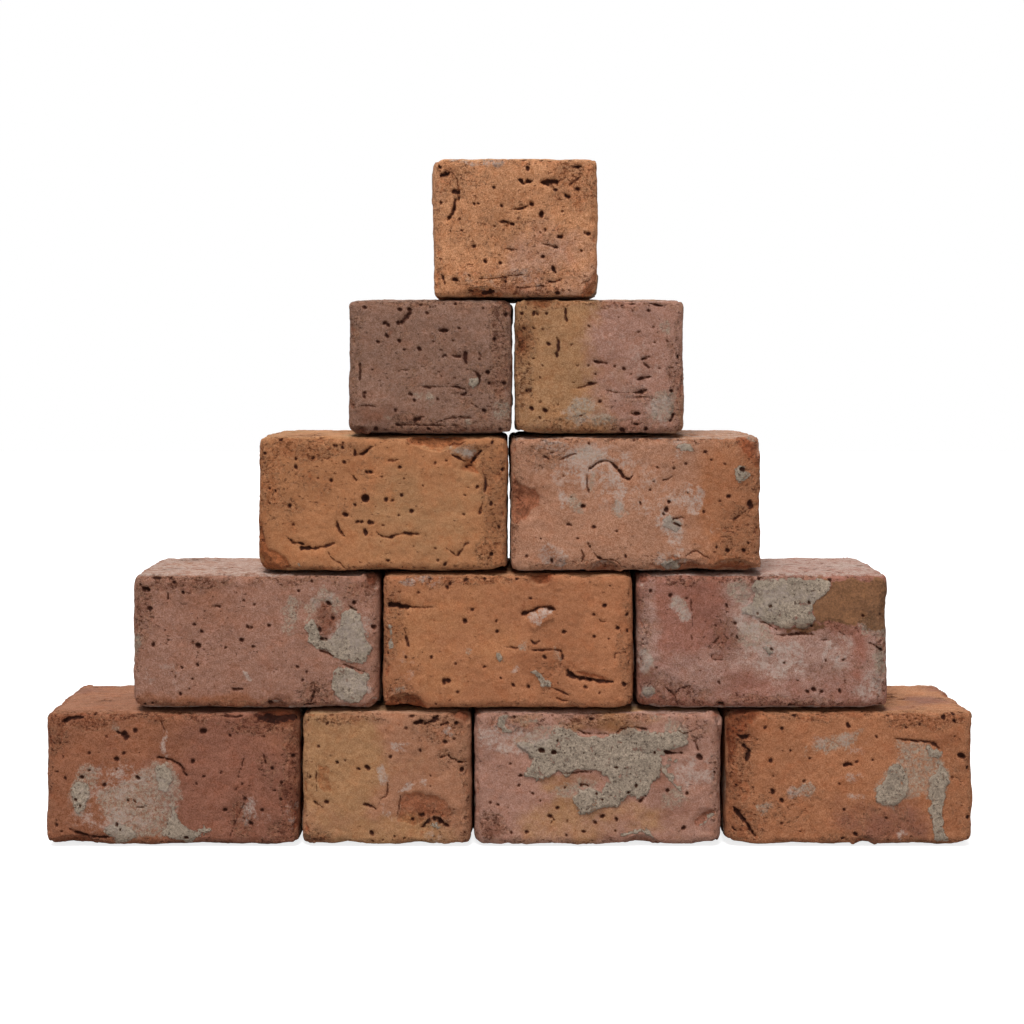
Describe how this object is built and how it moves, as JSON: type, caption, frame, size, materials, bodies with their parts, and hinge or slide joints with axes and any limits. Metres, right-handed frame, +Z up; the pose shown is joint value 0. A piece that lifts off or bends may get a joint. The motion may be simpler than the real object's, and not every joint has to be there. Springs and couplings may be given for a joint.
{
  "type": "brick stack",
  "caption": "Dry stack of reclaimed solid clay bricks in stepped courses, flush at the front, with worn edges, chips, pits and old mortar stains.",
  "frame": {"origin": "on the floor, in the middle of the stack's footprint", "axes": "+X along the stack, to the right of someone facing its flush front; +Y to the back; +Z up"},
  "size_m": [0.7452, 0.2, 0.555],
  "materials": {
    "orange_clay": "matt fired clay, pitted, with worn edges and old mortar stains",
    "rose_clay": "matt fired clay, pitted, with worn edges and old mortar stains",
    "plum_clay": "matt fired clay, pitted, with worn edges and old mortar stains",
    "ochre_clay": "matt fired clay, pitted, with worn edges and old mortar stains"
  },
  "bodies": {
    "root": {"course_1_left_stretcher": "orange_clay", "course_1_header": "ochre_clay", "course_1_middle_stretcher": "rose_clay", "course_1_right_stretcher": "orange_clay", "course_2_left_stretcher": "rose_clay", "course_2_middle_stretcher": "orange_clay", "course_2_right_stretcher": "rose_clay", "course_3_left_stretcher": "orange_clay", "course_3_right_stretcher": "orange_clay", "course_4_left_header": "plum_clay", "course_4_right_header": "ochre_clay", "course_5_top_header": "orange_clay"}
  },
  "joints": []
}
